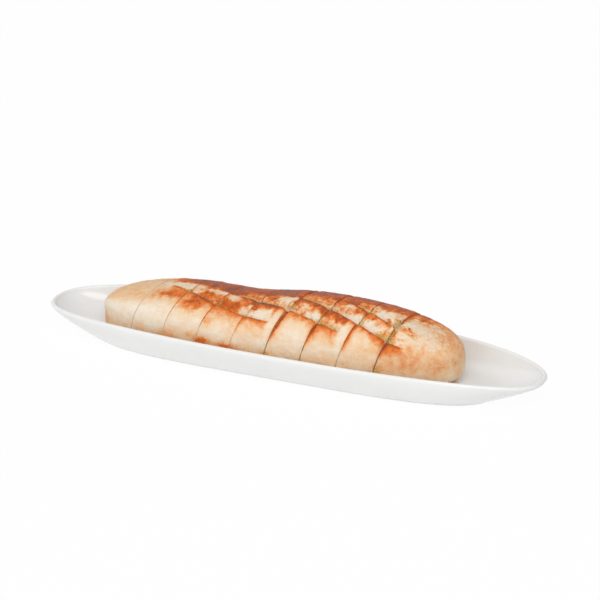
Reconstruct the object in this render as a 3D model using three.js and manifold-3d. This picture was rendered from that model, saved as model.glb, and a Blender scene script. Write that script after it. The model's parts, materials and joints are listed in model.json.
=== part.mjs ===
// Bread serving dish: a long oval porcelain dish that carries a scored loaf, cut on the
// slant into slices. Millimetres, +Z up, +X along the dish, -Y towards the diner.
// The origin is on the table under the middle of the dish.
import * as THREE from 'three';
import * as BufferGeometryUtils from 'three/addons/utils/BufferGeometryUtils.js';
import Module from 'manifold-3d';

// Dish: rim, base and wall
const DISH_LENGTH = 400;
const DISH_WIDTH = 102;
const DISH_HEIGHT = 25;
const TIP_DROP = 4.5; // how much lower the rim runs at the two tips
const END_FLARE = 36; // how far the rim overhangs the base at a tip
const SIDE_FLARE = 12; // and along a side
const LIP_THICKNESS = 4;
const FLOOR_HEIGHT = 6; // table to the floor of the well
const FLOOR_MARGIN = 8; // from the edge of the base in to the edge of the flat floor
const RIM_EXPONENT = 2.42; // of the rim's outline: 2 is an ellipse
const BASE_END_EXPONENT = 4.4; // the base is blunter at its ends than along its sides
const BASE_SIDE_EXPONENT = 2.3;
const WALL_EXPONENT = 1.33; // how soon the wall leans out on its way up to the rim

// Foot ring under the dish
const FOOT_HEIGHT = 1.8;
const FOOT_INSET = 2.5; // from the foot of the wall in to the ring
const FOOT_WIDTH = 4;

// Loaf: its space in the well and its form
const SEAT_GAP = 0.3; // under the bread
const LEFT_END_GAP = 1.5; // from the end of the flat floor to the loaf
const RIGHT_END_GAP = 20;
const SIDE_GAP = 9.5; // from the inside of the rim to the widest part of the loaf
const BELLY_HEIGHT = 19; // floor to the widest part
const CROWN_HEIGHT = 49; // floor to the top at the middle
const CROWN_RISE = 5.5; // how much higher the loaf is towards its right end
const CROWN_DIP = 6; // depth of the saddle left of the middle
const DIP_PLACE = -29; // from the middle of the loaf
const DIP_REACH = 36;
const SEAT_TRIM = 1.5; // how much of the round underside is baked flat
const CRUST_EXPONENT = 2.5; // of the section above the belly
const UNDERSIDE_EXPONENT = 3;
const PLAN_EXPONENT = 2.6;
const LEFT_CROWN_EXPONENT = 2.18; // of the ridge towards the two ends
const RIGHT_CROWN_EXPONENT = 2.4;
const NOSE_EXPONENT = 6; // how late the underside turns up at the ends

// Cuts down through the loaf
const SLICE_COUNT = 7;
const LEFT_HEEL = 39;
const RIGHT_HEEL = 52;
const CUT_GAP = 0.8;
const CUT_LEAN = THREE.MathUtils.degToRad(17); // the top of each cut leans to the right
const CUT_SLANT = THREE.MathUtils.degToRad(8); // the back of each cut runs to the right

// Scores that opened across the top in the oven
const SCORE_PLACES = [2.2, 4.2, 5.9, 7.5]; // in slices from the first cut
const SCORE_FORWARD = 18.5; // from the ridge towards the front
const SCORE_ANGLE = THREE.MathUtils.degToRad(20); // to the length of the loaf
const SCORE_LENGTH = 104;
const SCORE_TURN = 4; // exponent of its turn along the side, more turns later
const SCORE_END_GAP = 24; // from the right end of the loaf
const SCORE_DEPTH = 6;
const SCORE_LIP = 2.5; // width on the near side, under the crisp lip
const SCORE_CRUMB = 9; // width on the far side, where the crumb shows
const SCORE_CLEARANCE = 4; // how far the wedge that cuts a score stands over the crust

// Facets
const DISH_SIDES = 96;
const LOAF_SIDES = 52;
const LOAF_RINGS = 44;
const WALL_RINGS = 6;
const LIP_RINGS = 5;
const SCORE_RINGS = 24;

const wasm = await Module();
wasm.setup();

const porcelain = new THREE.MeshStandardMaterial({ color: 0xf4f4f2, roughness: 0.15, metalness: 0 });
const bread = new THREE.MeshStandardMaterial({ color: 0xdfa765, roughness: 0.85, metalness: 0 });

const range = (count) => Array.from({ length: count }, (_, index) => index);
const signedPower = (value, power) => Math.sign(value) * Math.abs(value) ** power;
const falloff = (fraction, exponent) => Math.max(1 - Math.abs(fraction) ** exponent, 0) ** (1 / exponent);

// Skins a stack of rings with the same number of points and closes both ends with a fan.
function loft(rings) {
  const sides = rings[0].length;
  const points = rings.flat();
  const index = [];
  for (let ring = 0; ring < rings.length - 1; ring++) {
    for (let side = 0; side < sides; side++) {
      const a = ring * sides + side;
      const b = ring * sides + ((side + 1) % sides);
      index.push(a, b, b + sides, a, b + sides, a + sides);
    }
  }
  const addFan = (ring, flip) => {
    const centre = new THREE.Vector3();
    rings[ring].forEach((point) => centre.addScaledVector(point, 1 / sides));
    points.push(centre);
    for (let side = 0; side < sides; side++) {
      const a = ring * sides + side;
      const b = ring * sides + ((side + 1) % sides);
      index.push(...(flip ? [b, a, points.length - 1] : [a, b, points.length - 1]));
    }
  };
  addFan(0, true);
  addFan(rings.length - 1, false);
  const geometry = new THREE.BufferGeometry().setFromPoints(points);
  geometry.setIndex(index);
  return geometry;
}

function toSolid(geometry) {
  const bare = geometry.clone();
  bare.deleteAttribute('normal');
  bare.deleteAttribute('uv');
  const merged = BufferGeometryUtils.mergeVertices(bare, 1e-4);
  return new wasm.Manifold(new wasm.Mesh({
    numProp: 3,
    vertProperties: new Float32Array(merged.attributes.position.array),
    triVerts: new Uint32Array(merged.index.array),
  }));
}

function toGeometry(solid) {
  const mesh = solid.getMesh();
  const geometry = new THREE.BufferGeometry();
  geometry.setAttribute('position', new THREE.BufferAttribute(new Float32Array(mesh.vertProperties), 3));
  geometry.setIndex(new THREE.BufferAttribute(new Uint32Array(mesh.triVerts), 1));
  geometry.computeVertexNormals();
  return geometry;
}

function named(name, geometry, material) {
  const mesh = new THREE.Mesh(geometry, material);
  mesh.name = name;
  return mesh;
}

// A level outline of the dish. Flare 0 is the blunt base and 1 the pointed rim, and inset
// draws the outline in. The rim sinks towards the tips by the share of TIP_DROP that is given.
function dishRing(flare, inset, height, drop) {
  const halfLength = DISH_LENGTH / 2 - END_FLARE * (1 - flare) - inset;
  const halfWidth = DISH_WIDTH / 2 - SIDE_FLARE * (1 - flare) - inset;
  const endPower = 2 / THREE.MathUtils.lerp(BASE_END_EXPONENT, RIM_EXPONENT, flare);
  const sidePower = 2 / THREE.MathUtils.lerp(BASE_SIDE_EXPONENT, RIM_EXPONENT, flare);
  return range(DISH_SIDES).map((side) => {
    const angle = (2 * Math.PI * side) / DISH_SIDES;
    const x = halfLength * signedPower(Math.cos(angle), endPower);
    const y = halfWidth * signedPower(Math.sin(angle), sidePower);
    const sink = TIP_DROP * drop * Math.abs(x / (DISH_LENGTH / 2)) ** 4;
    return new THREE.Vector3(x, y, height - sink);
  });
}

// The rings run from the recess underneath, round the foot, up the wall, over the lip and
// down to the floor of the well.
function makeDish() {
  const lip = LIP_THICKNESS / 2;
  const wallTop = DISH_HEIGHT - lip;
  const rings = [
    dishRing(0, FOOT_INSET + FOOT_WIDTH + FOOT_HEIGHT, FOOT_HEIGHT, 0),
    dishRing(0, FOOT_INSET + FOOT_WIDTH, 0, 0),
    dishRing(0, FOOT_INSET, 0, 0),
  ];
  range(WALL_RINGS).forEach((step) => {
    const rise = step / WALL_RINGS;
    const flare = 1 - (1 - rise) ** WALL_EXPONENT;
    rings.push(dishRing(flare, 0, FOOT_HEIGHT + (wallTop - FOOT_HEIGHT) * rise, rise));
  });
  range(LIP_RINGS + 1).forEach((step) => {
    const turn = (Math.PI * step) / LIP_RINGS;
    rings.push(dishRing(1, lip * (1 - Math.cos(turn)), wallTop + lip * Math.sin(turn), 1));
  });
  const floorEdge = new THREE.Vector2(0, 0);
  const turnUp = new THREE.Vector2(0.75, 0.05);
  const rimEdge = new THREE.Vector2(1, 1);
  const well = new THREE.QuadraticBezierCurve(rimEdge, turnUp, floorEdge);
  range(WALL_RINGS).forEach((step) => {
    const { x: flare, y: rise } = well.getPoint((step + 1) / WALL_RINGS);
    const inset = THREE.MathUtils.lerp(FLOOR_MARGIN, LIP_THICKNESS, flare);
    rings.push(dishRing(flare, inset, FLOOR_HEIGHT + (wallTop - FLOOR_HEIGHT) * rise, rise));
  });
  return loft(rings);
}

// The loaf lies on the flat floor of the well and follows its size.
const floorHalf = DISH_LENGTH / 2 - END_FLARE - FLOOR_MARGIN;
const loafLeft = -floorHalf + LEFT_END_GAP;
const loafRight = floorHalf - RIGHT_END_GAP;
const loafMiddle = (loafLeft + loafRight) / 2;
const loafHalf = (loafRight - loafLeft) / 2;
const loafSeat = FLOOR_HEIGHT + SEAT_GAP;
const loafBelly = loafSeat + BELLY_HEIGHT;
const loafHalfWidth = DISH_WIDTH / 2 - LIP_THICKNESS - SIDE_GAP;

// Half-width, crown and underside of the loaf at a place along it
function loafSection(x) {
  const along = (x - loafMiddle) / loafHalf;
  const crownExponent = along < 0 ? LEFT_CROWN_EXPONENT : RIGHT_CROWN_EXPONENT;
  const dip = CROWN_DIP * Math.exp(-(((x - loafMiddle - DIP_PLACE) / DIP_REACH) ** 2));
  const height = CROWN_HEIGHT + CROWN_RISE * along - dip;
  return {
    halfWidth: loafHalfWidth * falloff(along, PLAN_EXPONENT),
    crown: (height - BELLY_HEIGHT) * falloff(along, crownExponent),
    underside: (BELLY_HEIGHT + SEAT_TRIM) * falloff(along, NOSE_EXPONENT),
  };
}

function loafTop(x, y) {
  const { halfWidth, crown } = loafSection(x);
  return loafBelly + crown * falloff(Math.min(Math.abs(y) / halfWidth, 1), CRUST_EXPONENT);
}

function makeLoaf() {
  const rings = range(LOAF_RINGS).map((ring) => {
    const x = loafMiddle - loafHalf * Math.cos((Math.PI * (ring + 0.5)) / LOAF_RINGS);
    const { halfWidth, crown, underside } = loafSection(x);
    return range(LOAF_SIDES).map((side) => {
      const angle = (2 * Math.PI * side) / LOAF_SIDES;
      const power = 2 / (Math.sin(angle) > 0 ? CRUST_EXPONENT : UNDERSIDE_EXPONENT);
      const y = halfWidth * signedPower(Math.cos(angle), power);
      const z = signedPower(Math.sin(angle), power) * (Math.sin(angle) > 0 ? crown : underside);
      return new THREE.Vector3(x, y, Math.max(loafBelly + z, loafSeat));
    });
  });
  return toSolid(loft(rings));
}

const slicePitch = (2 * loafHalf - LEFT_HEEL - RIGHT_HEEL) / SLICE_COUNT;
const cutAt = (cut) => loafLeft + LEFT_HEEL + slicePitch * cut;

// A score is a slim wedge that opens like a lens along the crust, steep under its lip and
// sloping on the far side. It slants down from the ridge, turns along the side of the loaf, and
// stands clear of the crust all the way, so that it never tunnels.
function makeScore(place) {
  const across = new THREE.Vector2(Math.sin(SCORE_ANGLE), Math.cos(SCORE_ANGLE));
  const pointAt = (run, sideways) => {
    const x = cutAt(place) + run * Math.cos(SCORE_ANGLE);
    const straight = SCORE_FORWARD + run * Math.sin(SCORE_ANGLE);
    const share = Math.abs(straight) / loafSection(x).halfWidth;
    const forward = straight / (1 + share ** SCORE_TURN) ** (1 / SCORE_TURN);
    return new THREE.Vector2(x, -forward).addScaledVector(across, sideways);
  };
  const back = -SCORE_LENGTH / 2;
  const toEnd = (loafRight - SCORE_END_GAP - cutAt(place)) / Math.cos(SCORE_ANGLE);
  const front = Math.min(SCORE_LENGTH / 2, toEnd);
  const closed = 0.04; // share of the opening that is left at the two ends
  const widening = SCORE_CLEARANCE / SCORE_DEPTH;
  const rings = range(SCORE_RINGS + 1).map((ring) => {
    const run = THREE.MathUtils.lerp(back, front, ring / SCORE_RINGS);
    const open = closed + Math.sin((Math.PI * ring) / SCORE_RINGS) ** 0.7;
    const { x, y } = pointAt(run, 0);
    const crust = loafTop(x, y);
    const overCrust = (sideways) => {
      const corner = pointAt(run, sideways);
      const height = Math.max(crust, loafTop(corner.x, corner.y)) + SCORE_CLEARANCE;
      return new THREE.Vector3(corner.x, corner.y, height);
    };
    return [
      overCrust(-SCORE_LIP * (open + widening)),
      new THREE.Vector3(x, y, crust - SCORE_DEPTH * open),
      overCrust(SCORE_CRUMB * (open + widening)),
    ];
  });
  return toSolid(loft(rings));
}

// The block of space between two cuts, leaning and slanting as the knife did
function makeCutBlock(from, to) {
  const reach = 4 * (CROWN_HEIGHT + DISH_WIDTH);
  const block = new THREE.BoxGeometry(to - from - CUT_GAP, reach, reach);
  block.translate((from + to) / 2, 0, 0);
  const lean = Math.tan(CUT_LEAN);
  block.applyMatrix4(new THREE.Matrix4().makeShear(0, 0, Math.tan(CUT_SLANT), 0, lean, 0));
  block.translate(-lean * loafBelly, 0, 0);
  return toSolid(block);
}

function makeBread() {
  let loaf = makeLoaf();
  SCORE_PLACES.forEach((place) => {
    loaf = loaf.subtract(makeScore(place));
  });
  const farOut = DISH_LENGTH;
  const cuts = [-farOut, ...range(SLICE_COUNT + 1).map(cutAt), farOut];
  return range(SLICE_COUNT + 2).map((piece) => {
    const names = { 0: 'left_heel', [SLICE_COUNT + 1]: 'right_heel' };
    const solid = loaf.intersect(makeCutBlock(cuts[piece], cuts[piece + 1]));
    return named(names[piece] ?? `slice_${piece}`, toGeometry(solid), bread);
  });
}

const servingDish = new THREE.Group();
servingDish.add(named('dish', makeDish(), porcelain));
const loafGroup = new THREE.Group();
loafGroup.add(...makeBread());
servingDish.add(loafGroup);

export default servingDish;
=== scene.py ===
"""Dresses the bread serving dish: a glazed porcelain dish and a scored, sliced garlic loaf.

Run as a script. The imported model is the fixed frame, in metres, and every piece made here
stands where its solid does. The bread's surface is worked out in millimetres.
"""

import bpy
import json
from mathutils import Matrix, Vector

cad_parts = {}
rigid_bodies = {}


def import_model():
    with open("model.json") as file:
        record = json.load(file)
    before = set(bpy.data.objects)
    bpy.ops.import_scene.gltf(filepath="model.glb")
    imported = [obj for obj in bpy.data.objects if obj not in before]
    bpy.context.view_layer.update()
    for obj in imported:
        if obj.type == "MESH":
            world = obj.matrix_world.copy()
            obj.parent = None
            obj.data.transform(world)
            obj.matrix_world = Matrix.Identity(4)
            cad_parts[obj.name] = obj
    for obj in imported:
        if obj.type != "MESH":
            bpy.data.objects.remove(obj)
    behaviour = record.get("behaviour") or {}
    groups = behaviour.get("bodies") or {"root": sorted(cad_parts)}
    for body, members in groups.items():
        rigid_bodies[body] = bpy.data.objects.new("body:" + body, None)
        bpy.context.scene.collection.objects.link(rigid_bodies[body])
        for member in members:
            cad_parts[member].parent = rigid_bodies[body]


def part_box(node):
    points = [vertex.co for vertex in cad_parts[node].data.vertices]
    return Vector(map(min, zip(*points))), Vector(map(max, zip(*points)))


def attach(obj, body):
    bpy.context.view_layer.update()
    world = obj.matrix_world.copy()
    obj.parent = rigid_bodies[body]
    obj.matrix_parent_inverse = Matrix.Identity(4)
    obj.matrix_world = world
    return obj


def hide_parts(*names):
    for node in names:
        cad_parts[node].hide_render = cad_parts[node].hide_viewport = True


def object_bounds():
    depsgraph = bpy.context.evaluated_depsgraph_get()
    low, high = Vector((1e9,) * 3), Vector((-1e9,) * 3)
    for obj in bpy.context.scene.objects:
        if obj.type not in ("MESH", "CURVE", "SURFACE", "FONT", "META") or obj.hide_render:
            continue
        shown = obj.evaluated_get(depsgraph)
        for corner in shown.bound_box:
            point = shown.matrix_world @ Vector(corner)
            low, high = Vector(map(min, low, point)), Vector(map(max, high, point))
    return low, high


bl_info = {
    "name": "Bread Serving Dish",
    "version": (1, 0, 0),
    "blender": (4, 5, 0),
    "location": "3D View > Sidebar > Bread Dish",
    "description": "Makes the porcelain dish, the pieces of the loaf and the stage",
    "category": "Object",
}

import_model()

import json
import math

import bmesh
import bpy
import numpy as np
from bpy.props import FloatProperty, FloatVectorProperty, IntProperty, PointerProperty
from mathutils import Vector, noise

CAD_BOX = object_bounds()
MM = 0.001
DISH_LOW, DISH_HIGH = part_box("dish")
LOAF_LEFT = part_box("left_heel")[0].x
LOAF_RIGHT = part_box("right_heel")[1].x
BREAD = ["left_heel", *(f"slice_{number}" for number in range(1, 8)), "right_heel"]

# Stage
SENSOR = 36.0  # of the camera, in mm
VIEW_END = 50  # how far the camera sees
ROOM_FRONT = (-0.35, -0.94, 0.0)  # where the room is brightest
KEY_PLACE = (0.6, -1.3, 1.7)
KEY_SIZE = 1.4
FLOOR_RADIUS = 8
FLOOR_SIDES = 96

# The dish's profile
FOOT_EDGE = 0.6 * MM  # softness of the foot ring's edges
WALL_STEPS = 14
LIP_STEPS = 8
WELL_STEPS = 16
WELL_BEND = (0.75, 0.05)  # flare and rise that the curve from the lip to the floor bends to


# Settings

def srgb(red, green, blue):
    """A colour as the eye names it, 0 to 255, in Blender's linear terms."""
    def linear(channel):
        share = channel / 255
        return share / 12.92 if share <= 0.04045 else ((share + 0.055) / 1.055) ** 2.4
    return (linear(red), linear(green), linear(blue))


def length(name, description, default):
    return FloatProperty(
        name=name, description=description, default=default, unit="LENGTH", precision=5)


def number(name, description, default):
    return FloatProperty(name=name, description=description, default=default, precision=4)


def angle(name, description, degrees):
    return FloatProperty(
        name=name, description=description, default=math.radians(degrees), subtype="ANGLE")


def colour(name, description, *shade):
    return FloatVectorProperty(
        name=name, description=description, default=srgb(*shade), size=3, min=0, max=1,
        subtype="COLOR")


class DishSettings(bpy.types.PropertyGroup):
    """Sizes and finish of the porcelain dish."""

    length: length("Length", "From tip to tip of the rim", DISH_HIGH.x - DISH_LOW.x)
    width: length("Width", "Across the rim", DISH_HIGH.y - DISH_LOW.y)
    height: length("Height", "Table to the rim at the middle", 0.025)
    end_flare: length("End Flare", "How far the rim overhangs the base at a tip", 0.036)
    side_flare: length("Side Flare", "How far the rim overhangs the base at a side", 0.012)
    tip_drop: length("Tip Drop", "How much lower the rim runs at the tips", 0.0045)
    lip: length("Lip", "Thickness of the rounded lip", 0.004)
    floor: length("Floor", "Table to the floor of the well", 0.006)
    floor_margin: length("Floor Margin", "Edge of the base to the flat floor", 0.008)
    foot_height: length("Foot Height", "Height of the foot ring", 0.0018)
    foot_inset: length("Foot Inset", "Foot of the wall to the foot ring", 0.0025)
    foot_width: length("Foot Width", "Width of the foot ring", 0.004)
    rim_exponent: number("Rim Exponent", "Outline of the rim, 2 is an ellipse", 2.42)
    end_exponent: number("End Exponent", "Outline of the base at its ends", 4.4)
    side_exponent: number("Side Exponent", "Outline of the base at its sides", 2.3)
    wall_flare: number("Wall Flare", "How early the wall leans out", 1.33)
    sides: IntProperty(name="Sides", description="Points round the dish", default=144)
    glaze: colour("Glaze", "Colour of the glazed porcelain", 245, 245, 244)
    biscuit: colour("Biscuit", "Colour of the unglazed foot", 232, 227, 217)


class LoafSettings(bpy.types.PropertyGroup):
    """Form, cuts and colours of the loaf."""

    belly: length("Belly", "Table to the widest part", 0.0253)
    seat: length("Seat", "Table to the flat underside", 0.0063)
    half_width: length("Half Width", "Ridge to the widest part", 0.0375)
    crown: length("Crown", "Belly to the ridge at the middle", 0.030)
    crown_rise: length("Crown Rise", "How much higher the right end is", 0.0055)
    dip: length("Dip", "Depth of the saddle left of the middle", 0.006)
    dip_place: length("Dip Place", "Middle of the loaf to the saddle", -0.029)
    dip_reach: length("Dip Reach", "How far the saddle spreads", 0.036)
    crust_exponent: number("Crust Exponent", "Section above the belly", 2.5)
    underside_exponent: number("Underside Exponent", "Section below the belly", 3)
    plan_exponent: number("Plan Exponent", "Outline seen from above", 2.6)
    left_exponent: number("Left Exponent", "Line of the ridge to the left end", 2.18)
    right_exponent: number("Right Exponent", "Line of the ridge to the right end", 2.4)
    first_cut: length("First Cut", "Place of the first cut at the belly", -0.1155)
    slice_pitch: length("Slice Pitch", "Distance from cut to cut", 0.0285)
    cut_gap: length("Cut Gap", "Width of a cut", 0.0008)
    cut_lean: angle("Cut Lean", "How far the top of a cut leans to the right", 17)
    cut_slant: angle("Cut Slant", "How far the back of a cut runs to the right", 8)
    cut_openings: FloatVectorProperty(
        name="Cut Openings", description="How far each cut gapes, 1 is the whole gap", size=8,
        default=(0.22, 0.08, 0.1, 0.05, 0.8, 0.6, 0.15, 1.0))
    cut_toasts: FloatVectorProperty(
        name="Cut Toasts", description="How brown the edge on the right of each cut is", size=8,
        default=(0.0, 0.1, 0.2, 0.3, 0.8, 0.8, 0.8, 0.9))
    score_places: FloatVectorProperty(
        name="Score Places", description="Scores, in slices from the first cut", size=4,
        default=(2.2, 4.2, 5.9, 7.5))
    score_forward: length("Score Forward", "Ridge to the middle of a score", 0.0185)
    score_angle: angle("Score Angle", "Angle to the length of the loaf", 20)
    score_length: length("Score Length", "From end to end", 0.104)
    score_turn: number(
        "Score Turn", "Exponent of a score's turn along the side, more turns later", 4)
    score_end_gap: length("Score End Gap", "Last score to the right end of the loaf", 0.024)
    score_lip: length("Score Lip", "Width under the crisp lip", 0.0025)
    score_crumb: length("Score Crumb", "Width where the crumb shows", 0.009)
    voxel: length("Voxel", "Grain of the bread's surface", 0.0007)
    pale: colour("Pale Crust", "Crust that hardly browned", 246, 233, 214)
    golden: colour("Golden Crust", "Crust that took colour", 244, 202, 155)
    toasted: colour("Toasted Crust", "Crust that toasted", 234, 127, 46)
    brown: colour("Brown Crust", "Well baked crust", 192, 86, 24)
    dark: colour("Dark Crust", "Crust on the ridge", 146, 71, 30)
    scorched: colour("Scorched Crust", "Burnt edges", 84, 46, 34)
    crumb: colour("Crumb", "Torn crumb in the scores", 247, 234, 212)
    butter: colour("Butter", "Garlic butter that soaked in", 212, 172, 86)
    herb: colour("Herb", "Flecks of chopped herb", 104, 104, 44)


class StageSettings(bpy.types.PropertyGroup):
    """Camera, lights and floor."""

    azimuth: angle("Azimuth", "Camera's turn round the dish from its front", 23.5)
    elevation: angle("Elevation", "Camera's height over the table", 24)
    distance: length("Distance", "Camera to the middle of the dish", 2.8)
    lens: number("Lens", "Focal length in millimetres", 223.7)
    aim_right: length("Aim Right", "Aim to the right of the dish's middle", 0.00488)
    aim_up: length("Aim Up", "Aim above the dish's middle", 0.04634)
    key_power: FloatProperty(
        name="Key Power", description="Main soft light", default=13, unit="POWER")
    ambient: number("Ambient", "Light from all round", 0.60)
    room_tilt: number("Room Tilt", "How much brighter the room is in front than behind", 0.75)
    floor_glow: number("Floor Glow", "Share of plain white in the floor that is seen", 0.97)
    floor: colour("Floor", "Colour of the floor", 246, 246, 246)


# Materials

class Value:
    """A socket of a material's nodes: each operator on it adds a Math node."""

    def __init__(self, finish, socket):
        self.finish = finish
        self.socket = socket

    def math(self, operation, *terms):
        return self.finish.node("ShaderNodeMath", {"operation": operation}, dict(enumerate(terms)))

    def __add__(self, other):
        return self.math("ADD", self, other)

    def __sub__(self, other):
        return self.math("SUBTRACT", self, other)

    def __rsub__(self, other):
        return self.math("SUBTRACT", other, self)

    def __mul__(self, other):
        return self.math("MULTIPLY", self, other)

    __radd__ = __add__
    __rmul__ = __mul__

    def larger(self, other):
        return self.math("MAXIMUM", self, other)

    def ramp(self, low, high):
        """0 up to low, 1 from high on, with a soft step between them."""
        return self.finish.node(
            "ShaderNodeMapRange", {"interpolation_type": "SMOOTHSTEP"},
            {"Value": self, "From Min": low, "From Max": high})


class Finish:
    """A material, or a world, and the nodes that make it."""

    def __init__(self, name, owner=None):
        self.owner = owner or bpy.data.materials.new(name)
        self.owner.use_nodes = True
        self.tree = self.owner.node_tree
        self.tree.nodes.clear()

    def node(self, kind, settings, inputs, output=0):
        made = self.tree.nodes.new(kind)
        for key, setting in settings.items():
            if key == "stops":
                self.set_stops(made.color_ramp, setting)
            else:
                setattr(made, key, setting)
        for key, value in inputs.items():
            if isinstance(value, Value):
                self.tree.links.new(value.socket, made.inputs[key])
            elif isinstance(value, tuple) and len(value) == 3 and made.inputs[key].type == "RGBA":
                made.inputs[key].default_value = (*value, 1)
            else:
                made.inputs[key].default_value = value
        return Value(self, made.outputs[output]) if made.outputs else made

    @staticmethod
    def set_stops(ramp, stops):
        while len(ramp.elements) < len(stops):
            ramp.elements.new(1)
        for element, (place, shade) in zip(ramp.elements, stops):
            element.position = place
            element.color = (*shade, 1)

    def place(self):
        return self.node("ShaderNodeTexCoord", {}, {}, "Object")

    def height(self):
        return self.node("ShaderNodeSeparateXYZ", {}, {0: self.place()}, "Z")

    def attribute(self, name):
        return self.node("ShaderNodeAttribute", {"attribute_name": name}, {}, "Fac")

    def grain(self, size, detail=3.0, roughness=0.55, seed=0.0):
        """Soft noise of about 0.3 to 0.7, with lumps of the given size in metres."""
        return self.node("ShaderNodeTexNoise", {"noise_dimensions": "4D"}, {
            "Vector": self.place(), "W": seed, "Scale": 1 / size, "Detail": detail,
            "Roughness": roughness})

    def cells(self, size, output="Distance"):
        return self.node(
            "ShaderNodeTexVoronoi", {}, {"Vector": self.place(), "Scale": 1 / size}, output)

    def blend(self, first, second, share):
        return self.node(
            "ShaderNodeMix", {"data_type": "RGBA"}, {0: share, 6: first, 7: second}, 2)

    def shades(self, share, stops):
        """A colour for each share from 0 to 1, by stops of a place and a colour."""
        return self.node("ShaderNodeValToRGB", {"stops": stops}, {"Fac": share})

    def bump(self, height, distance, strength=1.0, under=None):
        inputs = {"Height": height, "Distance": distance, "Strength": strength}
        if under:
            inputs["Normal"] = under
        return self.node("ShaderNodeBump", {}, inputs)

    def surface(self, inputs):
        self.output(self.node("ShaderNodeBsdfPrincipled", {}, inputs))

    def output(self, shader):
        world = isinstance(self.owner, bpy.types.World)
        kind = "ShaderNodeOutputWorld" if world else "ShaderNodeOutputMaterial"
        self.node(kind, {}, {"Surface": shader})

    def seen_directly(self):
        """1 for the camera and for what shines or lets through, 0 for plain light."""
        camera, glossy, through = (
            self.node("ShaderNodeLightPath", {}, {}, f"Is {ray} Ray")
            for ray in ("Camera", "Glossy", "Transmission"))
        return camera.larger(glossy).larger(through)


# Shared by the pieces

def put(name, data):
    """A new object for a mesh, a camera or a light, at the origin."""
    piece = bpy.data.objects.new(name, data)
    bpy.context.scene.collection.objects.link(piece)
    return piece


def new_mesh(name, bm):
    mesh = bpy.data.meshes.new(name)
    bm.to_mesh(mesh)
    bm.free()
    mesh.shade_smooth()
    return mesh


def lerp(low, high, share):
    return low + (high - low) * share


def smooth(low, high, values):
    """0 up to low and 1 from high on, as numpy values."""
    share = np.clip((values - low) / (high - low), 0, 1)
    return share * share * (3 - 2 * share)


def falloff(fraction, exponent):
    """1 at the middle and 0 at the end of a superellipse's quarter."""
    return np.maximum(1 - np.abs(fraction) ** exponent, 0) ** (1 / exponent)


def bell(distance, reach):
    return np.exp(-(distance / reach) ** 2)


def fading(distance, reach):
    """1 up to a distance of 0, then less and less."""
    return np.exp(-np.maximum(distance, 0) / reach)


# The dish

def dish_profile(dish):
    """Rings from the recess underneath, over the lip, to the floor of the well.

    A ring is (flare, inset, height, drop): flare 0 is the base and 1 the rim, inset draws the
    outline in, and drop is the share of the tips' fall that it takes.
    """
    lip = dish.lip / 2
    wall_top = dish.height - lip
    foot_in = dish.foot_inset + dish.foot_width
    edge = FOOT_EDGE
    shoulder = dish.foot_height * 0.8
    # Round the foot ring, from the recess inside it to the foot of the wall
    rings = [(0, inset, height, 0) for inset, height in (
        (foot_in + dish.foot_height * 2.2, dish.foot_height),
        (foot_in + dish.foot_height, shoulder),
        (foot_in + edge, edge * 0.6),
        (foot_in - edge, 0),
        (dish.foot_inset + edge, 0),
        (dish.foot_inset - edge * 0.3, edge * 0.6),
        (dish.foot_inset * 0.6, shoulder))]
    for step in range(WALL_STEPS):
        rise = step / WALL_STEPS
        flare = 1 - (1 - rise) ** dish.wall_flare
        rings.append((flare, 0, lerp(dish.foot_height, wall_top, rise), rise))
    for step in range(LIP_STEPS + 1):
        turn = math.pi * step / LIP_STEPS
        rings.append((1, lip * (1 - math.cos(turn)), wall_top + lip * math.sin(turn), 1))
    for step in range(1, WELL_STEPS + 1):
        share = step / WELL_STEPS
        flare, rise = (
            (1 - share) ** 2 + 2 * share * (1 - share) * bend for bend in WELL_BEND)
        inset = lerp(dish.floor_margin, dish.lip, flare)
        rings.append((flare, inset, lerp(dish.floor, wall_top, rise), rise))
    rings.append((0, dish.floor_margin * 1.6, dish.floor, 0))
    return rings


def set_ring(dish, turns, ring):
    """Moves a ring's vertices on to its outline; turns gives each vertex's angle."""
    flare, inset, height, drop = ring
    half_length = dish.length / 2 - dish.end_flare * (1 - flare) - inset
    half_width = dish.width / 2 - dish.side_flare * (1 - flare) - inset
    end_power = 2 / lerp(dish.end_exponent, dish.rim_exponent, flare)
    side_power = 2 / lerp(dish.side_exponent, dish.rim_exponent, flare)
    for vert, turn in turns.items():
        along, across = math.cos(turn), math.sin(turn)
        x = half_length * math.copysign(abs(along) ** end_power, along)
        y = half_width * math.copysign(abs(across) ** side_power, across)
        sink = dish.tip_drop * drop * abs(2 * x / dish.length) ** 4
        vert.co = (x, y, height - sink)


def put_in_order(bm, order):
    """Numbers a mesh's parts alike in each run, by the place that order gives each vertex."""
    bm.verts.sort(key=order.get)
    bm.verts.index_update()
    span = 4 * len(bm.verts)

    def place(part):
        numbers = [vert.index for vert in part.verts]
        return span * min(numbers) + sum(numbers)
    bm.edges.sort(key=place)
    bm.faces.sort(key=place)


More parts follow.
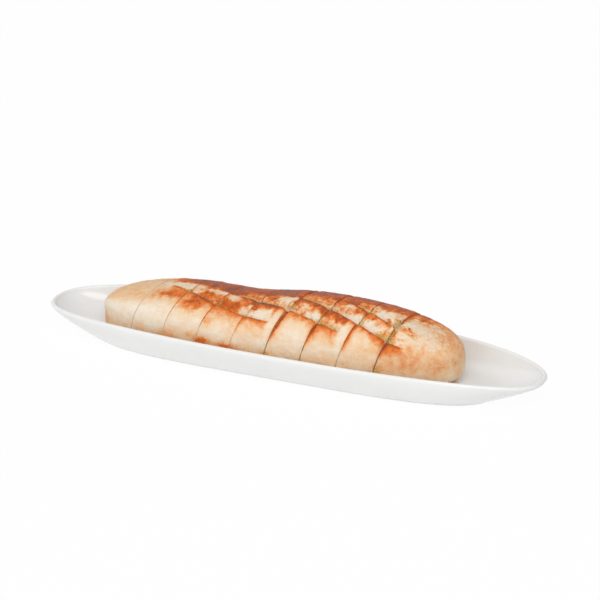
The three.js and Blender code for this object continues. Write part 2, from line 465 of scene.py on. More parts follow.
def dish_mesh(dish):
    """Draws one outline up through the rings of the profile and closes both ends."""
    bm = bmesh.new()
    rings = dish_profile(dish)
    made = bmesh.ops.create_circle(bm, segments=dish.sides, radius=1)
    turns = {vert: math.atan2(vert.co.y, vert.co.x) for vert in made["verts"]}
    order = dict(turns)
    edges = list(bm.edges)
    set_ring(dish, turns, rings[0])
    bmesh.ops.edgeloop_fill(bm, edges=edges)
    for row, ring in enumerate(rings[1:], 1):
        grown = bmesh.ops.extrude_edge_only(bm, edges=edges)["geom"]
        edges = [part for part in grown if isinstance(part, bmesh.types.BMEdge)]
        verts = [part for part in grown if isinstance(part, bmesh.types.BMVert)]
        before = {vert.co.copy().freeze(): turn for vert, turn in turns.items()}
        turns = {vert: before[vert.co.copy().freeze()] for vert in verts}
        set_ring(dish, turns, ring)
        order.update({vert: row * math.tau + turn for vert, turn in turns.items()})
    bmesh.ops.edgeloop_fill(bm, edges=edges)
    put_in_order(bm, order)
    bmesh.ops.recalc_face_normals(bm, faces=bm.faces)
    return new_mesh("porcelain_dish", bm)


def porcelain(dish):
    """White glaze with a faint ripple, and a dry foot that the glaze was wiped from."""
    finish = Finish("glazed_porcelain")
    dry = 1 - finish.height().ramp(0.2 * MM, 0.7 * MM)
    ripple = finish.grain(30 * MM, detail=2)
    orange_peel = finish.grain(2.2 * MM, detail=1, seed=3)
    shade = tuple(channel * 0.975 for channel in dish.glaze)
    tint = finish.blend(tuple(dish.glaze), shade, ripple.ramp(0.4, 0.7))
    normal = finish.bump(ripple, 0.6 * MM, 0.25)
    finish.surface({
        "Base Color": finish.blend(tint, tuple(dish.biscuit), dry),
        "Roughness": 0.10 + ripple * 0.08 + dry * 0.5,
        "Normal": finish.bump(orange_peel, 0.1 * MM, 0.12, normal),
        "Coat Weight": 0.25 - dry * 0.25,
        "Coat Roughness": 0.05,
        "IOR": 1.5,
    })
    return finish.owner


# The loaf's form

# Brown marks on the crust: centre x, y and z, reach along and round the loaf in mm, strength
MARKS = (
    (-94, -15, 45, 12, 5.5, 0.46), (-72, -22, 44, 13, 8.0, 0.52), (-45, -30, 40, 14, 7.0, 0.12),
    (-55, -34, 36.5, 3.2, 3.8, 0.26), (-69, -37, 25, 5.0, 3.5, 0.22), (-60, -37, 22, 8.0, 3.0, 0.34),
    (-39, -37, 20.5, 9.0, 3.0, 0.36), (-5, -37, 21, 6.0, 2.5, 0.22), (80, -35, 23, 6.0, 3.0, 0.24),
    (126, -20, 27, 6.0, 4.0, 0.14), (102, -31, 33, 14, 9.0, 0.14), (-53, -12.5, 44, 6.0, 4.0, 0.88),
    (-42, -15.5, 44, 7.0, 4.0, 0.90), (-65, -7, 46, 6.0, 4.5, 0.50), (-20, -13, 50, 8.0, 4.0, 0.45),
    (-8, -17, 51, 7.0, 4.0, 0.40), (70, -35, 32, 12, 9.0, 0.10))
# Places where the crust tore open beyond a score: centre x and y, reach along and across in mm
TEARS = (
    (-92, 1, 21, 6), (-61, -2, 9, 4), (-42, -5, 11, 5), (-16, -24, 12, 5), (-2, -4, 10, 4),
    (23, -22, 9, 4), (47, -29, 8, 3.5), (54, -4, 12, 3), (55, -16, 8, 5), (77, -4, 10, 4),
    (74, -19, 12, 5), (104, -12, 21, 16))

# A pair says where a change starts and where it is whole. Places along the loaf, in mm:
SAGGING = (-118, -148)
BROWN_FROM_LEFT = (-120, -78)
BROWN_FROM_RIGHT = (140, 96)
PALE_LEFT = (-80, -112)
NARROW_RIDGE = (-62, -82)
RIGHT_HALF = (40, 95)
RIGHT_FLANK = (54, 112)
LIPS_TO_RIGHT = (106, 84)
CRESTS_TO_RIGHT = (116, 104)
LAST_SCORE = (88, 82)
# Places across the loaf, in mm behind the ridge:
FRONT = (14, -6)
BACK = (6, 16)
BACK_OF_TOP = (2, 16)
BACK_OF_RIDGE = (1, 8)
NEAR_RIDGE = (14, 4)
# Heights over the table, in mm:
UNDERSIDE = (12, 7)
RISEN = (8.5, 12)
# the foot browns partly from baking and partly as painted shade where the loaf meets the dish
FOOT_BROWN_AND_SHADE = (31, 15)
OVER_FOOT = (14, 26)
# Heights as a share, 0 at the belly and 1 at the ridge:
SHOULDER = (0.15, 0.4)
SIDE = (0.0, 0.5)
UPPER_SIDE = (0.3, 0.6)
FLANK = (0.3, 0.75)
TORN_TOP = (0.45, 0.7)
UPPER = (0.55, 0.9)
RIDGE = (0.93, 1.0)
RIDGE_FOOT = (0.78, 0.35)  # where the ridge's brown starts, before and behind it
RIDGE_WHOLE = 0.95

SAG = 0.65  # how much further below the belly the left end's underside hangs
SAG_FLOOR = 9.5  # how low it may hang, in mm over the table
NO_CUT = 99.0  # distance to the cut that a heel lacks, in mm
END_LIMIT = 0.999  # how near the loaf's ends its section is worked out
SECTION_REACH = 26  # from the middle of a section to its outside, roughly, in mm
SCORE_STEPS = 6  # rounds that find a point's place across a score
SCORE_HAIRLINE = 0.04  # opening at a score's ends
SCORE_LENS = 0.7  # exponent of the opening between them
MERGED = 1e-6  # how close points are taken for one, in metres
PORE_SMALLEST, PORE_SPREAD = 0.16, 0.34  # reach of a pore in its cell
CREST_GLOW = 6  # how far the brown of a score's crest spreads, in mm
EDGE_RADII = (4.5, 3.0)  # of the edges right and left of an open cut, in mm
EDGE_SINKS = (1.9, 0.5)  # how far those edges sink on the flank, in mm
CLOSING = 0.95  # how far a closed cut's sides are drawn together
TOP_MARGIN = 0.05  # kept free under the top of the CAD box, in mm


class Loaf:
    """The loaf's form in mm: where a point is on it, between the cuts and in the scores."""

    def __init__(self, loaf):
        self.middle = (LOAF_LEFT + LOAF_RIGHT) / 2 / MM
        self.half = (LOAF_RIGHT - LOAF_LEFT) / 2 / MM
        self.settings = loaf
        self.belly = loaf.belly / MM
        self.underside = (loaf.belly - loaf.seat) / MM
        self.lean = math.tan(loaf.cut_lean)
        self.slant = math.tan(loaf.cut_slant)
        self.steepness = math.sqrt(1 + self.lean ** 2 + self.slant ** 2)
        self.half_gap = loaf.cut_gap / MM / 2 / self.steepness

    def section(self, x):
        """Half the width and the height over the belly at a place along the loaf."""
        loaf = self.settings
        along = np.clip((x - self.middle) / self.half, -END_LIMIT, END_LIMIT)
        saddle = loaf.dip * bell((x - self.middle) * MM - loaf.dip_place, loaf.dip_reach)
        ridge = np.where(
            along < 0, falloff(along, loaf.left_exponent), falloff(along, loaf.right_exponent))
        crown = (loaf.crown + loaf.crown_rise * along - saddle) * ridge
        return loaf.half_width * falloff(along, loaf.plan_exponent) / MM, crown / MM

    def top(self, x, y):
        half_width, crown = self.section(x)
        aside = np.minimum(np.abs(y) / half_width, 1)
        return self.belly + crown * falloff(aside, self.settings.crust_exponent)

    def slices(self, points):
        """Place along the loaf, counted in slices from the first cut."""
        x, y, z = points.T
        flat = x - self.lean * (z - self.belly) - self.slant * y
        return (flat * MM - self.settings.first_cut) / self.settings.slice_pitch

    def cut_distances(self, points, piece):
        """Distance inwards from the cut on the left and from the cut on the right of a piece."""
        share = self.slices(points)
        scale = self.settings.slice_pitch / MM / self.steepness
        whole = np.full(len(points), NO_CUT)
        left = (share - (piece - 1)) * scale - self.half_gap if piece > 0 else whole
        right = (piece - share) * scale - self.half_gap if piece < len(BREAD) - 1 else whole
        return left, right

    def score_forward(self, x, run):
        """How far before the ridge a score runs: it slants down and turns along the side."""
        loaf = self.settings
        straight = loaf.score_forward / MM + run * math.sin(loaf.score_angle)
        share = np.abs(straight) / np.maximum(self.section(x)[0], 1)
        return straight / (1 + share ** loaf.score_turn) ** (1 / loaf.score_turn)

    def score(self, points, place):
        """Along a score from -1 to 1, across it in mm with the far side positive, its opening."""
        loaf = self.settings
        x, y, _ = points.T
        ahead, aside = math.cos(loaf.score_angle), math.sin(loaf.score_angle)
        middle = (loaf.first_cut + loaf.slice_pitch * place) / MM
        across = np.zeros(len(points))
        for _ in range(SCORE_STEPS):
            run = (x - middle - across * aside) / ahead
            across = (y + self.score_forward(middle + run * ahead, run)) / ahead
        back = loaf.score_length / 2 / MM
        front = min(back, ((LOAF_RIGHT - loaf.score_end_gap) / MM - middle) / ahead)
        share = (run + back) / (front + back)
        opening = SCORE_HAIRLINE + np.sin(math.pi * np.clip(share, 0, 1)) ** SCORE_LENS
        return 2 * share - 1, across, opening


def lumps(points, size, seed, detail=3):
    """Soft noise of about -1 to 1 at each point, with lumps of the given size."""
    shift = Vector((17.3, -9.1, 5.7)) * seed
    return np.array([
        noise.fractal(Vector(point) / size + shift, 1.0, 2.0, detail) for point in points.tolist()])


def pores(points, size, seed):
    """Depth from 0 to 1 of the round holes in the crumb at each point."""
    shift = Vector((3.1, 7.7, -4.9)) * seed
    depth = np.zeros(len(points))
    for row, point in enumerate(points.tolist()):
        near, centres = noise.voronoi(Vector(point) / size + shift)
        draw = 0.5 + 0.5 * noise.cell(centres[0] * 7.3)  # one for each pore
        reach = PORE_SMALLEST + PORE_SPREAD * draw
        depth[row] = max(1 - (near[0] / reach) ** 2, 0)
    return depth


def keep_largest(bm):
    """Deletes the loose specks that remeshing leaves beside a piece."""
    islands = []
    for first in bm.verts:
        if first.tag:
            continue
        first.tag = True
        island = [first]
        for vert in island:  # grows while it is walked
            for edge in vert.link_edges:
                other = edge.other_vert(vert)
                if not other.tag:
                    other.tag = True
                    island.append(other)
        islands.append(island)
    islands.sort(key=len)
    for specks in islands[:-1]:
        bmesh.ops.delete(bm, geom=specks, context="VERTS")


def fine_mesh(node, voxel):
    """A copy of a solid's mesh, merged, remeshed to an even grain and softened."""
    bm = bmesh.new()
    bm.from_mesh(bpy.data.objects[node].data)
    bmesh.ops.remove_doubles(bm, verts=bm.verts, dist=MERGED)
    draft = put("draft", new_mesh("draft", bm))
    remesh = draft.modifiers.new("grain", "REMESH")
    remesh.mode = "VOXEL"
    remesh.voxel_size = voxel
    graph = bpy.context.evaluated_depsgraph_get()
    bm = bmesh.new()
    bm.from_mesh(draft.evaluated_get(graph).data)
    bpy.data.objects.remove(draft)
    keep_largest(bm)
    for _ in range(2):
        bmesh.ops.smooth_vert(
            bm, verts=bm.verts, factor=0.5, use_axis_x=True, use_axis_y=True, use_axis_z=True)
    return bm


def sag(bm, form):
    """Lets the underside of the left end sag towards the floor of the dish."""
    for vert in bm.verts:
        x, _, z = vert.co / MM
        hang = max(form.belly - z, 0) * SAG * smooth(*SAGGING, x)
        vert.co.z = max(z - hang, min(z, SAG_FLOOR)) * MM


def cut_values(values, piece):
    """What a row of values says of the cuts on the left and on the right of a piece."""
    row = [0.0, *values, 0.0]
    return row[piece], row[piece + 1]


class Skin:
    """The points of a piece's surface in mm, and where on the loaf each one lies.

    height is 0 at the belly and 1 at the ridge, and above is 1 over the shoulder. depth is
    measured down from the whole crust, left, right and nearest from the cuts, and inward from
    the outside of the section. cut_face is 1 on a cut, and broad, middling and small are soft
    noise of three sizes.
    """

    CUT_REACH = (1.1, 0.4)  # distance off a cut, and on it
    CUT_FACING = (0.82, 0.95)  # how squarely its face lies to the knife
    ON_CUT = 0.05
    BROAD, MIDDLING, SMALL = 13, 4.5, 1.6
    LARGE_PORES, SMALL_PORES = 3.4, 1.9  # apart, in mm
    SMALL_PORE_DEPTH = 0.6

    def __init__(self, bm, form, piece):
        bm.normal_update()
        self.points = np.array([vert.co for vert in bm.verts]) / MM
        self.normals = np.array([vert.normal for vert in bm.verts])
        self.x, self.y, self.z = self.points.T
        self.half_width, crown = form.section(self.x)
        self.height = (self.z - form.belly) / np.maximum(crown, 1)
        self.depth = form.top(self.x, self.y) - self.z
        self.above = smooth(*SHOULDER, self.height)
        self.inward = self.from_outside(form)
        self.left, self.right = form.cut_distances(self.points, piece)
        self.nearest = np.minimum(self.left, self.right)
        self.openings = cut_values(form.settings.cut_openings, piece)
        self.edge_toasts = cut_values(form.settings.cut_toasts, piece)
        self.knife = np.array((1, -form.slant, -form.lean)) / form.steepness
        facing = np.abs(self.normals @ self.knife)
        self.cut_face = smooth(*self.CUT_REACH, self.nearest) * smooth(*self.CUT_FACING, facing)
        self.holes = self.find_holes()
        self.broad = lumps(self.points, self.BROAD, 1)
        self.middling = lumps(self.points, self.MIDDLING, 2)
        self.small = lumps(self.points, self.SMALL, 3, detail=2)

    def from_outside(self, form):
        loaf = form.settings
        over = self.height > 0
        upright = np.where(over, self.height, (form.belly - self.z) / form.underside)
        sideways = np.minimum(np.abs(self.y) / np.maximum(self.half_width, 1), 1)
        power = np.where(over, loaf.crust_exponent, loaf.underside_exponent)
        share = (sideways ** power + np.abs(upright) ** power) ** (1 / power)
        return SECTION_REACH * (1 - share)

    def find_holes(self):
        """Depth from 0 to 1 of the large and the small pores in the cut faces."""
        holes = np.zeros(len(self.points))
        on_cut = np.flatnonzero(self.cut_face > self.ON_CUT)
        if len(on_cut):
            points = self.points[on_cut]
            small = self.SMALL_PORE_DEPTH * pores(points, self.SMALL_PORES, 2)
            holes[on_cut] = np.maximum(pores(points, self.LARGE_PORES, 1), small)
        return holes

    def mixed(self, broad=0.0, middling=0.0, small=0.0):
        """The three noises together, each times its weight."""
        return broad * self.broad + middling * self.middling + small * self.small


class Scores:
    """What the scores did to each point of a skin, as shares from 0 to 1.

    torn is open crumb, lip and crest the near edge of a score, brow its far edge, groove its
    bottom, before_one and behind_one the crust beside it, healed where the last score closes
    again, and tear crust that tore beyond a score. behind and to_crest are distances in mm.
    """

    FAR_BEHIND = 20
    FAR_BEFORE = 30
    LIP_REACH = (5.5, 3.2)  # of the first and of the last score's lip
    ENDING = (1.0, 0.9)  # where along a score it has ended, and where it is whole
    BESIDE = (1.5, 0.8)  # the same for the crust beside it
    WIDE = (0.06, 0.4)  # opening from which its edges rise, and where they are whole
    CREST, BROW, GROOVE = 0.8, 3.5, 2.2  # reach in mm

    def __init__(self, skin, form):
        none = np.zeros(len(skin.points))
        self.torn = self.lip = self.crest = self.brow = none
        self.groove = self.before_one = self.behind_one = self.healed = none
        self.behind, self.to_crest = none + self.FAR_BEHIND, none + self.FAR_BEFORE
        rows = len(form.settings.score_places)
        for row, place in enumerate(form.settings.score_places):
            stays = none + 1 if row < rows - 1 else smooth(*LAST_SCORE, skin.x)
            reach = lerp(*self.LIP_REACH, row / (rows - 1))
            self.add(skin, form, place, stays, reach)
        self.tear = self.find_tears(skin)

    def add(self, skin, form, place, stays, reach):
        """Adds one score; stays is 0 where it closed again, and reach is that of its lip."""
        loaf = form.settings
        along, across, opening = form.score(skin.points, place)
        lip_width = loaf.score_lip / MM * opening
        crumb_width = np.maximum(loaf.score_crumb / MM * opening, 0.1)
        ahead, after = -across - lip_width, across - crumb_width
        before = np.maximum(ahead, 0)
        live = smooth(*self.ENDING, np.abs(along)) * skin.above * (1 - skin.cut_face)
        wide = live * stays * smooth(*self.WIDE, opening)
        abreast = smooth(*self.BESIDE, np.abs(along)) * skin.above

        ragged = after + skin.mixed(middling=0.9, small=0.7)
        torn = live * smooth(0.4, -0.5, ahead) * smooth(2.5, -3.0, ragged) * smooth(0, 3, skin.depth)
        edge = wide * smooth(-1.2, 0.1, ahead)
        lip = np.exp(-(before / np.maximum(reach * (1 + skin.mixed(broad=0.2)), 1)) ** 1.5)
        healed = (1 - stays) * (1 - skin.cut_face) * smooth(-6, -3, across)
        for name, share in (
                ("torn", torn),
                ("lip", edge * lip),
                ("crest", edge * fading(before, self.CREST)),
                ("brow", wide * smooth(-1.8, 0.2, after) * fading(after, self.BROW)),
                ("groove", wide * bell(across - 1, self.GROOVE)),
                ("before_one", abreast * smooth(0.5, 3, ahead)),
                ("behind_one", live * smooth(1, 3, across)),
                ("healed", healed)):
            setattr(self, name, np.maximum(getattr(self, name), share))

        behind = np.where(after > -2, np.maximum(after, 0), self.FAR_BEHIND)
        self.behind = np.minimum(self.behind, behind + self.FAR_BEHIND * (1 - live))
        to_crest = np.where(across < 0, before, self.FAR_BEFORE)
        to_crest += self.FAR_BEFORE * (1 - abreast * stays)
        self.to_crest = np.minimum(self.to_crest, to_crest)

    def find_tears(self, skin):
        tears = np.zeros(len(skin.points))
        for x, y, along, across in TEARS:
            spread = np.hypot((skin.x - x) / along, (skin.y - y) / across)
            spread += skin.mixed(middling=0.3, small=0.15)
            tears = np.maximum(tears, smooth(1.4, 0.4, spread))
        return tears * smooth(*TORN_TOP, skin.height) * (1 - skin.cut_face) * (1 - self.lip)


# The loaf's surface

def relief(skin, scores, crust):
    """How far each point stands out along its normal, in mm; crust is 0 on open crumb."""
    blisters = 0.305 + skin.mixed(0.35, 0.18, 0.08)
    strands = skin.mixed(middling=0.9, small=0.8) - 0.2
    shreds = skin.mixed(middling=0.35, small=0.3) - 0.4
    crumb = 0.9 * skin.holes + 0.12 * (skin.small + 0.8)
    off_cuts = skin.above * smooth(0, 4, skin.nearest)
    out = -crust * smooth(*RISEN, skin.z) * blisters
    out += off_cuts * (0.9 * scores.lip - 0.5 * scores.brow)
    out += scores.torn * strands + (1 - scores.torn) * scores.tear * shreds
    return out - skin.cut_face * smooth(0.6, 2, skin.inward) * crumb


def shape_piece(bm, skin, scores, form):
    """Moves the surface as baking, tearing and cutting did."""
    crust = (1 - skin.cut_face) * (1 - scores.torn)
    out = relief(skin, scores, crust)
    edgewise = skin.normals - (skin.normals @ skin.knife)[:, None] * skin.knife
    edgewise /= np.maximum(np.linalg.norm(edgewise, axis=1), 0.3)[:, None]
    flank = smooth(*FLANK, skin.height) * (1 - 0.7 * smooth(*RIDGE, skin.height))
    moved = skin.points.copy()
    # An open cut's edges are rounded, more on its right, and a closed one's are drawn together
    for distance, opening, radius, sink, way in zip(
            (skin.left, skin.right), skin.openings, EDGE_RADII, EDGE_SINKS, (-1, 1)):
        round_off = np.clip(1 - distance / radius, 0, 1) ** 2 * opening * (0.2 + sink * flank)
        out -= (1 - skin.cut_face) * skin.above * round_off
        shut = 1 - opening
        close = way * CLOSING * form.half_gap * shut * smooth(2, 0.2, distance)
        square = crust * shut * smooth(1.3, 0.2, distance) * np.clip(skin.inward, 0, 0.8)
        moved += close[:, None] * skin.knife + square[:, None] * edgewise
    moved += skin.normals * out[:, None]
    moved[:, 2] += 0.9 * scores.healed * skin.above * np.maximum(skin.depth, 0)
    moved[:, 2] = np.minimum(moved[:, 2], CAD_BOX[1].z / MM - TOP_MARGIN)
    for vert, place in zip(bm.verts, moved * MM):
        vert.co = place


def layered(*shares):
    """Shares laid over each other, so that they never pass 1."""
    bare = 1.0
    for share in shares:
        bare = bare * (1 - np.clip(share, 0, 1))
    return 1 - bare


def coloured(skin):
    """1 where the loaf browned, 0 at its pale ends."""
    return smooth(*BROWN_FROM_LEFT, skin.x) * smooth(*BROWN_FROM_RIGHT, skin.x)


def ridge_share(skin, scores):
    """1 on the brown ridge behind the scores, which fades down the back."""
    foot = lerp(*RIDGE_FOOT, smooth(*BACK, skin.y)) + skin.mixed(broad=0.1)
    ridge = (1 - scores.before_one) * smooth(foot, RIDGE_WHOLE, skin.height)
    return ridge * lerp(1, smooth(*BACK_OF_RIDGE, skin.y), smooth(*NARROW_RIDGE, skin.x))


def crust_toast(skin, scores):
    """How brown the crust is from 0 to 1, before tears and marks.

    The layers are dough, ridge, band between two scores, ends, back, lips, crests, brows,
    edges of the cuts, foot, right flank and underside, each a place times its brown. The
    foot's brown is partly its more baked crust and partly painted shade where the loaf meets
    the dish.
    """
    browned = coloured(skin)
    upper = smooth(*UPPER, skin.height)
    ridge = ridge_share(skin, scores)
    band = scores.before_one * scores.behind_one
    front = smooth(*SIDE, skin.height) * (1 - ridge) * smooth(*FRONT, skin.y)
    to_right = smooth(*RIGHT_HALF, skin.x)
    ridge_toast = lerp(0.36, 0.64, smooth(1, 8, scores.behind)) - 0.16 * to_right
    left_edge = fading(skin.left, 2.4) * skin.edge_toasts[0]
    right_edge = fading(skin.right, 0.9) * skin.edge_toasts[1]
    right_flank = smooth(*RIGHT_FLANK, skin.x) * (1 - upper) * smooth(*OVER_FOOT, skin.z)
    mottle = skin.mixed(middling=0.12, small=0.16)
    return layered(
        0.08 - 0.05 * smooth(*PALE_LEFT, skin.x) + skin.mixed(0.06, 0.06),
        browned * ridge * (ridge_toast + skin.mixed(broad=0.16) + mottle),
        browned * band * (0.13 + 0.26 * bell(scores.to_crest, CREST_GLOW) + mottle),
        (1 - browned) * upper * 0.22,
        browned * upper * smooth(*BACK_OF_TOP, skin.y) * 0.2,
        smooth(*LIPS_TO_RIGHT, skin.x) * scores.lip * (0.40 + skin.mixed(middling=0.10)),
        smooth(*CRESTS_TO_RIGHT, skin.x) * scores.crest * (0.36 + skin.mixed(small=0.2)),
        scores.brow * (0.15 + skin.mixed(middling=0.4)),
        front * (0.85 * left_edge + 0.15 * right_edge),
        # browner towards the foot: partly the more baked lower crust, partly painted shade where the
        # loaf meets the dish
        smooth(*FOOT_BROWN_AND_SHADE, skin.z) * (0.16 - 0.06 * to_right + skin.mixed(broad=0.14)),
        right_flank * 0.17,
        smooth(*UNDERSIDE, skin.z) * 0.35)


def surface_toast(skin, scores):
    """How brown each point is: crust, tears, open scores, marks and cut faces in turn."""
    tear_toast = 0.22 + 0.04 * smooth(*RIGHT_HALF, skin.x) + skin.mixed(middling=0.08, small=0.08)
    torn_toast = 0.37 + 0.45 * bell(scores.to_crest, CREST_GLOW) + skin.mixed(0.14, 0.16, 0.24)
    torn_toast -= 0.30 * scores.tear * (1 - scores.healed)
    toast = lerp(crust_toast(skin, scores), tear_toast, 0.9 * scores.tear)
    toast = lerp(toast, torn_toast, scores.torn)
    for x, y, z, reach, girth, strength in MARKS:
        spread = ((skin.x - x + 2 * skin.middling) / reach) ** 2
        spread += ((skin.y - y) ** 2 + (skin.z - z + 2 * skin.small) ** 2) / girth ** 2
        mark = strength * (1 + skin.mixed(middling=0.3)) * np.exp(-spread)
        toast = layered(toast, mark)
    rind_toast = toast + 0.15 + 0.35 * coloured(skin) * smooth(*UPPER_SIDE, skin.height)
    cut_toast = lerp(0.10 + skin.mixed(broad=0.06), rind_toast, fading(skin.inward, 2))
    return lerp(toast, cut_toast, skin.cut_face)


def surface_butter(skin, scores):
    """Where butter soaked in: the grooves, torn crumb by the cuts, their feet and their faces."""
    gaping = max(skin.openings)
    near_cut = fading(skin.nearest, 4.5)
    near_ridge = smooth(*NEAR_RIDGE, np.abs(skin.y))
    groove = scores.groove * (0.45 + 0.7 * near_cut + 0.4 * near_ridge + skin.mixed(broad=0.6))
    crumb = coloured(skin) * np.maximum(scores.torn, scores.tear) * near_cut * max(0.6, gaping)
    foot = smooth(8, 1, skin.left + 25 * np.maximum(skin.height + 0.22, 0))
    foot *= skin.openings[0] ** 2
    foot *= 1 - skin.cut_face * smooth(0, 5, skin.inward + skin.mixed(middling=1.5))
    face = skin.cut_face * smooth(3, 7, skin.inward) * (0.22 + skin.mixed(broad=0.6))
    side = smooth(*SIDE, skin.height) * (1 - ridge_share(skin, scores))
    rim = skin.cut_face * bell(skin.inward - 2, 2) * side * smooth(*TORN_TOP, skin.height)
    return np.maximum.reduce([
        groove,
        crumb * (0.9 + skin.mixed(middling=0.6)),
        foot * (1.2 + skin.mixed(middling=0.5)),
        face,
        rim * gaping * 0.8])


def bake_piece(bm, form, piece):
    """Shapes a piece's surface and returns how each point of it looks, in shares from 0 to 1."""
    sag(bm, form)
    skin = Skin(bm, form, piece)
    scores = Scores(skin, form)
    shape_piece(bm, skin, scores, form)
    looks = {
        "toast": surface_toast(skin, scores),
        "crumb": np.maximum.reduce([scores.torn, skin.cut_face, 0.85 * scores.tear]),
        "butter": surface_butter(skin, scores),
        # depth of the pores in the cut faces, for the painted shade in them
        "hole": skin.holes * skin.cut_face,
    }
    return {name: np.clip(values, 0, 1) for name, values in looks.items()}


def bread_finish(loaf):
    """Crust from pale to scorched, torn crumb, soaked butter, flecks of herb and painted shade in
    the pores.
    """
    finish = Finish("garlic_bread")
    pale, golden, toasted, brown, dark, scorched, crumb, butter, herb = (
        tuple(shade) for shade in (
            loaf.pale, loaf.golden, loaf.toasted, loaf.brown, loaf.dark, loaf.scorched,
            loaf.crumb, loaf.butter, loaf.herb))
    mottle = finish.grain(4 * MM, detail=4, roughness=0.6)
    speck = finish.grain(1.1 * MM, detail=3, roughness=0.65, seed=5)
    burnt = finish.grain(2.4 * MM, detail=3, roughness=0.6, seed=9).ramp(0.58, 0.70)
    blister = finish.grain(1.6 * MM, detail=4, roughness=0.65, seed=2)
    herb_size = 1.9 * MM

    toast = finish.attribute("toast") + (mottle - 0.5) * 0.20 + (speck - 0.5) * 0.30
    toast = toast + burnt * toast.ramp(0.36, 0.56) * 0.28
    crust = finish.shades(toast, [
        (0.0, pale), (0.24, golden), (0.44, toasted), (0.62, brown), (0.8, dark), (1.0, scorched)])
    torn = finish.shades(toast, [
        (0.0, crumb), (0.16, pale), (0.36, golden), (0.56, toasted), (0.88, brown)])
    open_crumb = (finish.attribute("crumb") + (speck - 0.5) * 0.5).ramp(0.1, 0.9)
    soaked = finish.attribute("butter") + (mottle - 0.5) * 0.7 + (speck - 0.5) * 0.4
    soaked = soaked.ramp(0.28, 0.75)
    fleck = 1 - finish.cells(herb_size).ramp(0.25, 0.4)
    draw = finish.node("ShaderNodeSeparateColor", {}, {0: finish.cells(herb_size, "Color")})
    herbs = fleck * draw.ramp(0.80, 0.82) * soaked

    bread = finish.blend(crust, torn, open_crumb)
    bread = finish.blend(bread, butter, soaked * 0.7)
    bread = finish.blend(bread, herb, herbs * 0.8)
    # painted shade in the pores: the crumb darkens towards golden with their depth
    bread = finish.blend(bread, golden, finish.attribute("hole") * 0.35)
    normal = finish.bump(blister, 0.7 * MM, 0.4)
    finish.surface({
        "Base Color": bread,
        "Roughness": 0.62 + open_crumb * 0.28 - soaked * 0.22 - toast.ramp(0.4, 0.8) * 0.14,
        "Normal": finish.bump(speck, 0.5 * MM, 0.35, normal),
        "Subsurface Weight": 0.10,
        "Subsurface Radius": (3.0 * MM, 1.6 * MM, 0.8 * MM),
        "Subsurface Scale": 1.0,
        "Specular IOR Level": 0.3,
    })
    return finish.owner


# Operators

class StageOperator(bpy.types.Operator):
    """Set the camera, the soft light and the white floor."""

    bl_idname = "bread_dish.stage"
    bl_label = "Stage"

    def execute(self, context):
        stage = context.scene.bread_dish_stage
        self.add_camera(context, stage)
        self.add_floor(stage)
        self.add_world(context, stage)
        self.add_key_light(stage)
        context.scene.view_settings.view_transform = "Standard"
        return {"FINISHED"}

    @staticmethod
    def add_camera(context, stage):
        side, front = math.sin(stage.azimuth), math.cos(stage.azimuth)
        flat = math.cos(stage.elevation)
        back = Vector((side * flat, -front * flat, math.sin(stage.elevation)))
        right = Vector((front, side, 0))
        aim = right * stage.aim_right + back.cross(right) * stage.aim_up
        data = bpy.data.cameras.new("camera")
        data.sensor_width = SENSOR
        data.lens = stage.lens
        data.clip_end = VIEW_END
        camera = put("camera", data)
        camera.location = back * stage.distance
        camera.rotation_euler = (aim - camera.location).to_track_quat("-Z", "Y").to_euler()
        context.scene.camera = camera

    @staticmethod
    def add_key_light(stage):
        data = bpy.data.lights.new("key", "AREA")
        data.shape = "DISK"
        data.size = KEY_SIZE
        data.energy = stage.key_power
        light = put("key", data)
        light.location = KEY_PLACE
        light.rotation_euler = (-Vector(KEY_PLACE)).to_track_quat("-Z", "Y").to_euler()

    @staticmethod
    def add_floor(stage):
        bm = bmesh.new()
        bmesh.ops.create_circle(bm, cap_ends=True, segments=FLOOR_SIDES, radius=FLOOR_RADIUS)
        floor = put("floor", new_mesh("floor", bm))
        finish = Finish("white_floor")
        plain = finish.node("ShaderNodeBsdfDiffuse", {}, {"Color": tuple(stage.floor)})
        white = finish.node(
            "ShaderNodeEmission", {}, {"Color": (1.0, 1.0, 1.0), "Strength": 1.0})
        share = finish.seen_directly() * stage.floor_glow
        finish.output(finish.node("ShaderNodeMixShader", {}, {0: share, 1: plain, 2: white}))
        floor.data.materials.append(finish.owner)

    @staticmethod
    def add_world(context, stage):
        world = bpy.data.worlds.new("white_room")
        context.scene.world = world
        finish = Finish("white_room", world)
        seen = finish.seen_directly()
        way = finish.node("ShaderNodeTexCoord", {}, {}, "Generated")
        ahead = finish.node(
            "ShaderNodeVectorMath", {"operation": "DOT_PRODUCT"}, {0: way, 1: ROOM_FRONT}, "Value")
        room = (1 + ahead * stage.room_tilt) * stage.ambient
        strength = seen * (1 - room) + room
        finish.output(finish.node(
            "ShaderNodeBackground", {}, {"Color": (1.0, 1.0, 1.0), "Strength": strength}))


class DishOperator(bpy.types.Operator):
    """Make the porcelain dish."""

    bl_idname = "bread_dish.dish"
    bl_label = "Porcelain Dish"

    def execute(self, context):
        dish = context.scene.bread_dish_dish
        piece = put("porcelain_dish", dish_mesh(dish))
        rounding = piece.modifiers.new("rounding", "SUBSURF")
        rounding.levels = rounding.render_levels = 1
        piece.data.materials.append(porcelain(dish))
        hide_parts("dish")
        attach(piece, "dish")
        return {"FINISHED"}


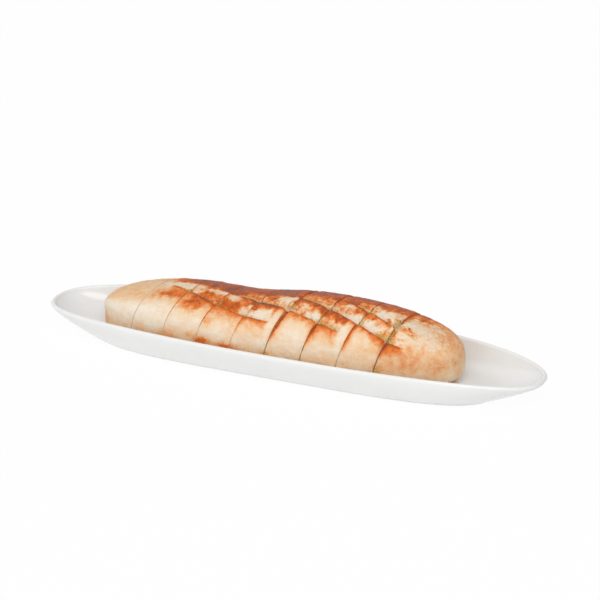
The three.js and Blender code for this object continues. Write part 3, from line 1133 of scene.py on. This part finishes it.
class LoafOperator(bpy.types.Operator):
    """Make the heels and slices of the loaf."""

    bl_idname = "bread_dish.loaf"
    bl_label = "Sliced Loaf"

    def execute(self, context):
        loaf = context.scene.bread_dish_loaf
        form = Loaf(loaf)
        finish = bread_finish(loaf)
        for number, node in enumerate(BREAD):
            bm = fine_mesh(node, loaf.voxel)
            looks = bake_piece(bm, form, number)
            piece = put(f"{node}_bread", new_mesh(f"{node}_bread", bm))
            for name, values in looks.items():
                layer = piece.data.attributes.new(name, "FLOAT", "POINT")
                layer.data.foreach_set("value", values.astype(np.float32))
            piece.data.materials.append(finish)
            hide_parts(node)
            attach(piece, node)
        return {"FINISHED"}


class DishPanel(bpy.types.Panel):
    """Lists the pieces of the bread serving dish."""

    bl_idname = "VIEW3D_PT_bread_dish"
    bl_label = "Bread Dish"
    bl_space_type = "VIEW_3D"
    bl_region_type = "UI"
    bl_category = "Bread Dish"

    def draw(self, context):
        for operator, settings in (
                ("bread_dish.stage", context.scene.bread_dish_stage),
                ("bread_dish.dish", context.scene.bread_dish_dish),
                ("bread_dish.loaf", context.scene.bread_dish_loaf)):
            box = self.layout.box()
            box.operator(operator)
            for name in settings.bl_rna.properties.keys():
                if name not in {"rna_type", "name"}:
                    box.prop(settings, name)


CLASSES = (
    DishSettings, LoafSettings, StageSettings, StageOperator, DishOperator, LoafOperator, DishPanel)


def register():
    for each in CLASSES:
        bpy.utils.register_class(each)
    bpy.types.Scene.bread_dish_dish = PointerProperty(type=DishSettings)
    bpy.types.Scene.bread_dish_loaf = PointerProperty(type=LoafSettings)
    bpy.types.Scene.bread_dish_stage = PointerProperty(type=StageSettings)


def unregister():
    for name in ("bread_dish_dish", "bread_dish_loaf", "bread_dish_stage"):
        delattr(bpy.types.Scene, name)
    for each in reversed(CLASSES):
        bpy.utils.unregister_class(each)


def main():
    register()
    bpy.ops.bread_dish.stage()
    bpy.ops.bread_dish.dish()
    bpy.ops.bread_dish.loaf()


if __name__ == "__main__":
    main()
